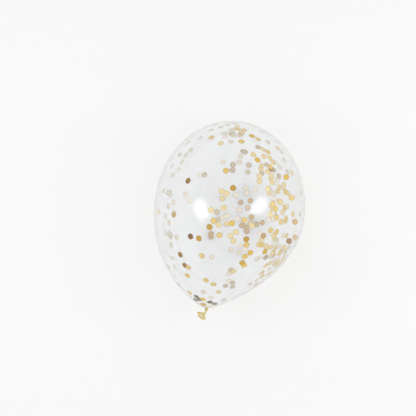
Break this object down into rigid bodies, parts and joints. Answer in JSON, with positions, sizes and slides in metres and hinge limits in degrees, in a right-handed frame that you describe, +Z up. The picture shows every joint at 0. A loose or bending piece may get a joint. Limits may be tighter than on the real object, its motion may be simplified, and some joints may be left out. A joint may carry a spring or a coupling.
{
  "type": "confetti balloon",
  "caption": "Inflated clear latex party balloon with foil confetti inside, tied in a knot with a flared tail, lying on its side.",
  "frame": {"origin": "middle of the small flat spot that the balloon lies on", "axes": "+Z up out of the surface it lies on, +Y from the knot towards the crown, +X to the right seen from above with the crown up"},
  "size_m": [0.3, 0.4016, 0.2985],
  "materials": {
    "clear_latex": "gloss",
    "amber_latex": "gloss",
    "gold_foil": "gloss",
    "bronze_foil": "gloss",
    "champagne_foil": "gloss"
  },
  "bodies": {
    "root": {"balloon": "clear_latex"}
  },
  "joints": []
}
